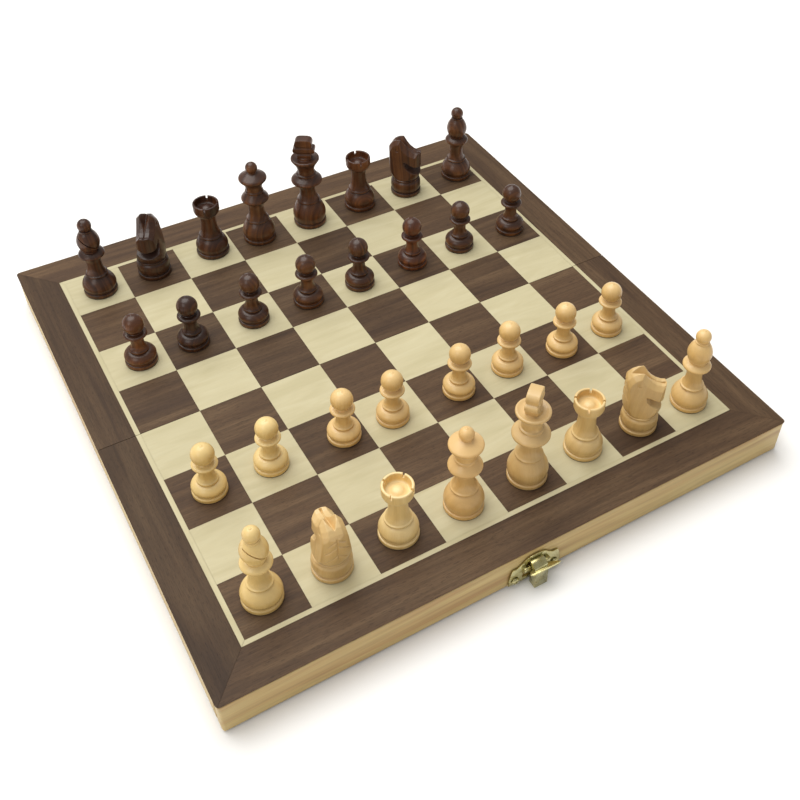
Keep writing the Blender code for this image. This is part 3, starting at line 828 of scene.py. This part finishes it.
def make_latch():
    pivot = node_middle("latch_pin")
    base = node_box("latch_plate")[0].z
    ear = [(14.0, base, 0), (13.9, base + 4.5, 3.0), (13.0, base + 9.0, 1.5),
           (12.2, base + 11.0, 0.8), (9.6, base + 10.6, 1.2), (7.4, base + 12.2, 1.5),
           (4.6, base + 15.0, 3.0), (1.0, base + 15.5, 1.0)]
    body = plate("latch_body", mirrored(eased(ear, 6)), 0.8, 0.18)
    opening = [(6.8, base + 2.2), (6.8, base + 7.8), (4.4, base + 12.2), (2.4, base + 13.6)]
    body = cut(body, plate("window", mirrored(opening), 3.0))
    body = upright(body, "near", 0.7)
    y_out, y_in = from_fold("near", HALF_D + 3.0), from_fold("near", HALF_D + 0.35)
    for x_low, x_high in ((-7.1, -4.1), (4.1, 7.1)):
        lug = box("lug", (x_low, y_out, pivot.z - 1.3), (x_high, y_in, pivot.z + 1.3))
        body = join(body, bevel(lug, 0.5, 3))
    finish(smooth(body, 30), BRASS, "near_half", "brass", "latch_plate")
    pin = rod("latch_rivet", (0, pivot.y, pivot.z), 0.6, 11.2, "X", 24)
    finish(smooth(bevel(pin, 0.15, 2)), BRASS, "near_half", "brass", "latch_pin")
    for hand in HANDS:
        wall_screw("latch_screw_head_" + hand, "latch_screw_" + hand, "near")
    make_catch(pivot)


def make_catch(pivot):
    """The swinging catch: rolled barrel, thumb lip with pointed ends, and a hooked channel."""
    face, floor, width, wall = 6.6, 0.2, 3.4, 0.8
    catch = rod("catch", tuple(pivot), 4.4, 7.0, "X", 64)
    long_end = [(width - 0.3, -2.6), (5.4, -4.4), (9.9, -6.9), (8.2, -7.4)]
    short_end = [(-5.0, -7.3), (-6.2, -6.3), (-5.0, -4.4), (0.3 - width, -2.6)]
    lip = turn(plate("lip", long_end + short_end, wall), -12, "X")
    catch = join(catch, move(lip, 0, from_fold("near", HALF_D), 10.4))
    cheek = [(2.0, 10.5), (face - 0.1, 12.0), (face, floor), (2.2, floor), (2.4, 5.0), (3.6, 8.0)]
    hollow = [(5.2, 7.0), (5.5, 8.0), (5.8, 9.0), (face - 0.9, floor + 0.7), (4.2, floor + 0.7),
              (4.2, floor - 1.0), (0.5, floor - 1.0), (0.5, 7.0)]
    channel = side_view("channel", cheek, 2 * width, "near")
    channel = cut(channel, side_view("hollow", hollow, 2 * (width - wall), "near"))
    catch = join(catch, channel)
    catch = cut(catch, rod("bore", (0, pivot.y, pivot.z), 0.7, 20, "X", 24))
    catch = smooth(bevel(catch, 0.18, 2, 35), 30)
    catch.name = "latch_catch"
    finish(catch, BRASS, "latch_tab", "brass", "latch_tab")


def make_strike():
    low, high = node_box("strike_plate")
    base = low.z + (1.3 if low.z < 1.0 else 0.0)
    half = [(11.0, base), (11.0, base + 6.0)] + arc((8.2, base + 5.6), 2.8, 10, 90, 6)
    body = upright(plate("strike_body", mirrored(half), 0.8, 0.15), "far", 0.7)
    axis_z = node_middle("hinge_left_pin").z
    out = high.y - from_fold("far", HALF_D)
    nose = [(0.7, 6.0), (0.7, axis_z + 1.2), (1.5, axis_z + 0.7), (1.5, axis_z - 0.8),
            (out - 0.6, axis_z - 0.8), (out, axis_z - 0.3), (out, axis_z + 0.1),
            (3.7, axis_z + 0.3), (3.0, 4.2)]
    body = join(body, side_view("nose", nose, 4.6, "far"))
    finish(smooth(bevel(body, 0.12, 2, 35), 30), BRASS, "far_half", "brass", "strike_plate")
    for hand in HANDS:
        wall_screw("strike_screw_head_" + hand, "strike_screw_" + hand, "far")


# ---- turned chess pieces

def pedestal(base_r, bell_r, bell_z, step_r, step_z):
    """Eased corners of the step ring, the bell, the groove and the bottom flange."""
    rise = step_z - bell_z
    spread = bell_r - step_r
    flange_r = base_r - 0.25
    return [(step_r + 0.15, step_z + 0.1, 0.12), (step_r + 0.2, step_z - 0.6, 0.12),
            (step_r - 0.5, step_z - 0.85, 0.1), (step_r - 0.35, step_z - 1.15, 0.15),
            (step_r + 0.43 * spread, bell_z + 0.62 * rise, 2.0),
            (bell_r - 0.30, bell_z + 0.28 * rise, 2.0), (bell_r + 0.3, bell_z - 0.3, 2.0),
            (bell_r - 0.3, 3.3, 0.8), (flange_r - 0.9, 2.7, 0.15), (flange_r - 0.8, 2.35, 0.1),
            (flange_r - 0.15, 2.15, 0.3), (flange_r, 1.6, 0.3), (flange_r, 0.35, 0.3),
            (flange_r - 0.3, 0, 0.1), (0, 0, 0)]


def ball(radius, centre_z, bottom_angle):
    """A turned ball from its top, with the small nub that parting off leaves there."""
    top = centre_z + radius
    points = [(0, top + 0.22, 0), (0.5, top + 0.12, 0), (0.75, top - 0.12, 0)]
    count = 14
    for i in range(count + 1):
        angle = math.radians(13 + (bottom_angle - 13) * i / count)
        points.append((radius * math.sin(angle), centre_z + radius * math.cos(angle), 0))
    return points


def pawn_shape():
    body = [(3.3, 20.75, 0.1), (3.6, 20.45, 0.1), (5.4, 20.2, 0.4), (6.15, 19.6, 0.35),
            (6.15, 18.9, 0.3), (5.6, 18.35, 0.3), (3.9, 17.4, 1.0), (3.35, 14.5, 2.5),
            (3.6, 11.4, 1.6), (4.5, 9.8, 0.6)]
    foot = pedestal(8.7, 8.15, 5.1, 5.0, 9.3)
    return turned("pawn_shape", eased(ball(5.5, 25.45, 148) + body + foot))


def bishop_shape():
    body = [(2.75, 41.9, 0.1), (3.45, 41.6, 0.15), (3.45, 41.1, 0.15), (3.25, 40.85, 0.1),
             (4.3, 39.7, 1.6), (5.6, 37.3, 2.5), (6.35, 34.2, 2.5), (5.5, 30.9, 2.5),
             (4.3, 28.9, 0.4), (4.3, 28.4, 0.1),
            (5.0, 28.2, 0.3), (6.6, 27.0, 0.5), (7.05, 26.3, 0.3), (7.0, 25.5, 0.3),
            (6.5, 25.0, 0.3), (4.7, 24.0, 1.0), (3.85, 21.0, 2.5), (4.1, 16.0, 2.5),
            (5.2, 13.1, 0.8)]
    foot = pedestal(9.5, 9.1, 5.2, 5.8, 12.6)
    shape = turned("bishop_shape", eased(ball(3.75, 44.45, 132) + body + foot))
    slit = box("slit", (-9, -9, -0.3), (9, -0.6, 0.3))
    return cut(shape, move(turn(slit, 38, "Y"), 0.6, 0, 34.6))


def rook_shape():
    cup = [(0, 31.8, 0), (1.9, 31.5, 1.0), (3.6, 30.1, 1.0), (5.3, 29.8, 0.8), (5.95, 30.8, 0.6),
           (6.1, 33.9, 0.15), (6.4, 34.2, 0.15), (7.0, 34.2, 0.2), (7.4, 33.8, 0.3),
           (7.35, 29.4, 0.3), (7.1, 28.9, 0.15), (6.8, 28.7, 0.1), (6.95, 28.4, 0.15),
           (6.7, 27.7, 0.4), (5.2, 26.9, 0.6), (4.5, 25.6, 0.8), (4.3, 22.0, 2.5),
           (4.8, 16.0, 3.0), (6.0, 12.9, 0.8)]
    shape = turned("rook_shape", eased(cup + pedestal(9.75, 9.1, 5.6, 6.5, 12.3)))
    for i in range(4):
        notch = box("notch", (4.5, -0.55, 32.0), (9, 0.55, 36))
        shape = cut(shape, turn(notch, 38 + 90 * i, "Z"))
    return shape


def queen_shape():
    body = [(2.6, 46.0, 0.15), (4.2, 45.2, 0.8), (6.4, 43.9, 1.2), (7.75, 43.0, 0.4),
           (8.1, 42.3, 0.3), (7.95, 41.5, 0.3), (7.3, 40.7, 0.5), (5.5, 38.6, 1.6),
           (4.75, 36.4, 1.6), (4.75, 34.3, 0.1),
            (5.3, 33.8, 0.3), (5.35, 33.1, 0.25), (4.95, 32.5, 0.1), (5.4, 32.0, 0.2),
            (7.4, 29.9, 0.6), (8.0, 28.9, 0.3), (7.95, 28.1, 0.3), (7.4, 27.4, 0.4),
            (5.0, 26.0, 1.2), (4.15, 23.0, 2.5), (4.6, 18.0, 2.5), (6.0, 14.8, 0.7)]
    foot = pedestal(9.8, 9.35, 6.2, 6.5, 14.2)
    return turned("queen_shape", eased(ball(3.5, 48.75, 132) + body + foot))


def king_shape():
    body = [(0, 46.3, 0), (3.6, 46.2, 0.3), (4.0, 45.6, 0.2), (4.2, 44.7, 0.3), (6.0, 44.8, 0.6),
             (7.5, 45.3, 0.3), (8.2, 44.9, 0.3), (8.3, 44.1, 0.25), (7.7, 43.1, 0.4),
             (5.8, 40.3, 1.8), (4.85, 37.4, 1.8), (5.0, 35.0, 0.1),
            (5.9, 34.5, 0.3), (5.95, 33.8, 0.3), (5.5, 33.3, 0.1), (6.0, 32.8, 0.2),
            (8.4, 31.2, 0.6), (9.1, 30.3, 0.3), (9.1, 29.5, 0.3), (8.5, 28.8, 0.4),
            (5.6, 27.2, 1.4), (4.35, 24.4, 2.5), (4.7, 20.0, 2.5), (6.1, 17.2, 0.8)]
    shape = turned("king_shape", eased(body + pedestal(10.0, 9.65, 7.2, 6.65, 16.4)))
    return join(shape, kings_cross())


def kings_cross():
    """A thick cross with short arms and a broad top block, its faces grooved between them."""
    side = eased([(4.1, 45.4, 0), (3.9, 47.2, 0.6), (4.2, 48.6, 0.3), (5.9, 49.2, 0.6),
                  (6.5, 50.6, 1.2), (6.1, 52.1, 0.7), (4.6, 52.7, 0.2), (4.9, 53.6, 0.5),
                  (5.2, 55.9, 1.3), (3.7, 57.7, 1.4), (0.6, 57.9, 0.3)], 4)
    thickness = 6.2
    cross = plate("cross", mirrored(side), thickness)
    for height, radius in ((48.8, 0.8), (52.8, 0.6)):
        for sign in (-1, 1):
            groove = rod("groove", (0, height, sign * (thickness / 2 + 0.1)), radius, 20, "X", 16)
            cross = cut(cross, groove)
    turn(cross, 90, "X")
    return remesh(cross, 0.25, 6, 0.5)


# ---- carved knight

KNIGHT_BLANK_R = 9.9  # the head is carved from a turned cylinder
CREST_CHAMFER = 2.3


def knight_half_width(height):
    """The cheeks are sawn to a wedge, full at the chest and narrow at the ears."""
    return 7.9 - 0.12 * (height - 11.0)


def knight_shape():
    """Horse's head facing +X, with sawn flat cheeks, on a turned foot."""
    foot = [(0, 11.4, 0), (8.0, 11.4, 0.2), (8.4, 11.1, 0.2), (8.4, 10.7, 0.2), (7.9, 10.3, 0.15),
            (7.9, 9.9, 0.15), (8.9, 8.8, 1.0), (9.3, 5.6, 2.0), (8.95, 3.4, 0.8), (8.1, 2.75, 0.15),
            (8.2, 2.4, 0.1), (9.2, 2.15, 0.35), (9.35, 1.6, 0.3), (9.35, 0.35, 0.3),
            (9.1, 0, 0.1), (0, 0, 0)]
    return join(turned("knight_shape", eased(foot)), knight_head())


def knight_head():
    back = [(-10.6, 8.0), (-10.6, 27.0), (-10.2, 30.0), (-9.0, 33.0), (-7.2, 35.3),
            (-4.6, 36.9), (-1.7, 37.7)]
    face = [(-0.7, 36.0), (0.6, 34.0), (2.3, 32.1), (4.7, 30.5), (7.3, 29.7), (9.7, 29.9),
            (10.6, 29.0), (10.6, 8.0)]
    widest = 5.6
    head = plate("head", back + face, 2 * widest, CREST_CHAMFER, 0)
    for vert in head.data.vertices:
        vert.co.z *= knight_half_width(vert.co.y / MM) / widest
    turn(head, 90, "X")
    blank = turned("blank", eased([(0, 42, 0), (KNIGHT_BLANK_R, 42, 0), (KNIGHT_BLANK_R, 20, 4),
                                   (9.6, 15.4, 1.5), (8.8, 12.8, 1.0), (7.8, 11.0, 0.5),
                                   (7.2, 10.6, 0), (0, 10.6, 0)]), 96)
    head = combine(head, blank, "INTERSECT")
    for cutter in [knight_mouth(), ear_notch(), eye_groove(-1), eye_groove(1)] + mane_grooves():
        head = cut(head, cutter)
    return narrow_nose(remesh(head, 0.25, 3, 0.4))


def narrow_nose(head):
    """Pare the cheeks in towards the nose, the full amount from the mouth up."""
    for vert in head.data.vertices:
        forward, height = vert.co.x / MM, vert.co.z / MM
        share = min(1.0, max(0.0, (height - 12.0) / 8.0))
        vert.co.y *= 1 - 0.018 * share * max(0.0, forward + 4.0)
    return head


def knight_mouth():
    """One sawn cut below the muzzle: straight under the lips, curved over the breast."""
    lips = [(12.0, 19.6), (8.8, 20.5), (5.5, 21.9), (0.6, 24.1)]
    breast = [(1.3, 20.9), (3.2, 18.7), (6.2, 17.2), (9.0, 15.5), (12.0, 15.0)]
    return turn(plate("mouth", lips + breast, 24.0), 90, "X")


def ear_notch():
    """V-shaped cutter whose bottom line runs down from the mane to the brow."""
    wedge = plate("notch", [(0, 0), (5.4, 9), (-5.4, 9)], 20)
    for degrees, axis in ((90, "X"), (90, "Z"), (21, "Y")):
        turn(wedge, degrees, axis)
    return move(wedge, -0.4, 0, 31.8)


def eye_groove(sign):
    """Small crescent scored into the cheek."""
    height = 31.4
    side = sign * knight_half_width(height)
    eye = rod("eye", (-3.4, side, height), 1.3, 0.8, "Y", 24)
    pupil = rod("pupil", (-3.15, side, height + 0.2), 0.9, 1.6, "Y", 24)
    return cut(eye, pupil)


def mane_grooves():
    """Cutters for the mane: a line down the back and pairs of strokes that slant down from it."""
    grooves = [groove_on_back([(-0.3, 14.0), (0.3, 14.0), (0.3, 31.5), (-0.3, 31.5)], 0, 0)]
    for top, length in ((30.5, 5.5), (26.5, 7.5), (20.5, 7.5)):
        stroke = [(-0.3, -length), (0.3, -length), (0.3, 0.4), (-0.3, 0.4)]
        grooves += [groove_on_back(stroke, slant, top) for slant in (-48, 48)]
    return grooves


def groove_on_back(outline, slant, height):
    """A scoring cutter of even depth round the back of the neck."""
    stroke = plate("stroke", outline, 8.0)
    turn(stroke, slant, "Z")
    move(stroke, 0, height, 0)
    turn(stroke, 90, "X")
    turn(stroke, 90, "Z")
    move(stroke, -11.0, 0, 0)
    return cut(stroke, rod("core", (0, 0, 25), KNIGHT_BLANK_R - 0.55, 60, "Z", 96))


# ---- the thirty-two pieces

# Degrees that a piece is turned on its square, anticlockwise from above
TURNS = {"light_knight_left": 86, "light_knight_right": -34, "dark_knight_left": -118,
         "dark_knight_right": -50, "light_king": 40, "dark_king": -32,
         "light_bishop_right": 150, "dark_bishop_left": -20, "dark_bishop_right": 160,
         "light_rook_right": 12, "dark_rook_left": 25, "dark_rook_right": 40}

# Red, green and blue share of the usual wood colour, for the pieces drawn darker, paler or of another
# cast than the rest
CASTS = {"light_rook_left": (1.1, 1.22, 1.36), "light_rook_right": (1.04, 1.1, 1.16),
         "light_king": (0.84, 0.84, 0.86), "light_queen": (0.96, 0.92, 0.9),
         "light_knight_right": (0.84, 0.84, 0.84),
         "light_knight_left": (0.93, 0.95, 1.0), "light_bishop_left": (1.04, 1.1, 1.06),
         "light_pawn_2": (1.08, 1.16, 1.16), "light_pawn_1": (1.04, 1.1, 1.06),
         "dark_rook_left": (0.78, 0.74, 0.8), "dark_bishop_left": (0.74, 0.72, 0.8),
         "dark_knight_left": (0.66, 0.66, 0.74), "dark_pawn_1": (1.15, 1.05, 0.9),
         "dark_rook_right": (1.1, 1.0, 0.9), "dark_pawn_2": (0.75, 0.72, 0.75),
         "dark_pawn_6": (1.2, 1.0, 0.9), "dark_king": (1.1, 1.0, 0.9)}


def make_pieces():
    shapes = {"pawn": pawn_shape(), "bishop": bishop_shape(), "rook": rook_shape(),
              "queen": queen_shape(), "king": king_shape(), "knight": knight_shape()}
    felt_radius = {"pawn": 8.2, "bishop": 9.0, "rook": 9.25, "queen": 9.3, "king": 9.5,
                   "knight": 8.85}
    for body in frame["bodies"]:
        colour, _, rest = body.partition("_")
        kind = rest.split("_")[0]
        if kind not in shapes:
            continue
        low = node_box(body)[0]
        x, y = piece_axis(body)
        piece = add_object(body + "_carving", shapes[kind].data.copy())
        set_grain(piece, "Z", body, 0.05, CASTS.get(body, (1.0, 1.0, 1.0)))
        turn(piece, TURNS.get(body, 0), "Z")
        move(piece, x, y, low.z)
        smooth(piece, 50)
        finish(piece, BOXWOOD if colour == "light" else STAINED, body, colour + "_piece_wood", body)
        felt = rod(body + "_felt", (x, y, (TOP_Z + low.z) / 2 + 0.01),
                   felt_radius[kind], low.z - TOP_Z - 0.02, "Z", 48)
        finish(smooth(bevel(felt, 0.05, 1)), FELT, body, colour + "_piece_wood")
    for shape in shapes.values():
        bpy.data.objects.remove(shape)


def piece_axis(node):
    """Where a piece's turning axis stands: the middle of the lowest ring of its frame node."""
    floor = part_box(node)[0].z
    obj = frame["nodes"][node]
    points = [obj.matrix_world @ vert.co for vert in obj.data.vertices]
    ring = [point / MM for point in points if point.z < floor + 0.1 * MM]
    spans = ([point[axis] for point in ring] for axis in (0, 1))
    return [(min(span) + max(span)) / 2 for span in spans]


# ---- room

def make_floor():
    bm = bmesh.new()
    bmesh.ops.create_grid(bm, x_segments=2, y_segments=2, size=6.0)
    floor = new_object("floor", bm)
    look = Look("floor_white", Roughness=0.9, Specular_IOR_Level=0.1)
    look.set("Base Color", look.ramp(look.cloud(3, 3, 2.0, 0.5), (0.3, 0.90), (0.7, 0.92)))
    floor.data.materials.append(look.material)
    hold_floor_below(floor)


def hold_floor_below(floor):
    """The floor drops when the far half folds down below the near one."""
    marks = [("far_half", (0, FAR_PANEL_HIGH.y, TOP_Z)), ("far_half", (0, FAR_PANEL_HIGH.y, 0)),
             ("far_half", (0, FOLD_Y, TOP_Z)), ("dark_king", tuple(node_box("dark_king")[1]))]
    for i, (body, place) in enumerate(marks):
        mark = add_object("floor_mark_" + str(i), None)
        mark.location = Vector(place) * MM
        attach(mark, body)
        keep = floor.constraints.new("FLOOR")
        keep.target = mark
        keep.floor_location = "FLOOR_NEGATIVE_Z"


def make_lights():
    world = bpy.data.worlds.new("studio")
    bpy.context.scene.world = world
    world.use_nodes = True
    background = world.node_tree.nodes["Background"]
    background.inputs["Color"].default_value = (1, 0.99, 0.97, 1)
    background.inputs["Strength"].default_value = 0.4
    for name, place, size, power, green in (("overhead", (-0.2, 0.7, 1.9), 2.2, 50, 0.985),
                                            ("side", (-1.3, -0.5, 1.2), 0.9, 5.6, 0.98)):
        data = bpy.data.lights.new(name, "AREA")
        data.shape, data.size, data.energy = "DISK", size, power
        data.color = (1.0, green, 0.95)
        lamp = add_object(name, data)
        lamp.location = place
        lamp.rotation_euler = (-Vector(place)).to_track_quat("-Z", "Y").to_euler()


def make_camera():
    data = bpy.data.cameras.new("camera")
    data.lens = LENS
    data.shift_x, data.shift_y = LENS_SHIFT
    data.clip_start = 0.01
    camera = add_object("camera", data)
    heading, dip, roll = (math.radians(angle) for angle in (HEADING, DIP, ROLL))
    forward = Vector((math.cos(dip) * math.cos(heading), math.cos(dip) * math.sin(heading),
                      -math.sin(dip)))
    level = Vector((math.sin(heading), -math.cos(heading), 0))
    right = level * math.cos(roll) + level.cross(forward) * math.sin(roll)
    axes = Matrix((right, right.cross(forward), -forward)).transposed()
    field_corner = Vector((-FIELD, FOLD_Y - FIELD, TOP_Z)) * MM
    place = field_corner + Vector(CAMERA_SQUARES) * PITCH * MM
    camera.matrix_world = Matrix.Translation(place) @ axes.to_4x4()
    bpy.context.scene.camera = camera


bpy.context.scene.view_settings.view_transform = "Standard"
make_camera()
make_veneers()
for half in SIDES:
    make_walls(half)
    make_panel(half)
for which in HANDS:
    make_hinge(which)
make_latch()
make_strike()
make_pieces()
make_floor()
make_lights()
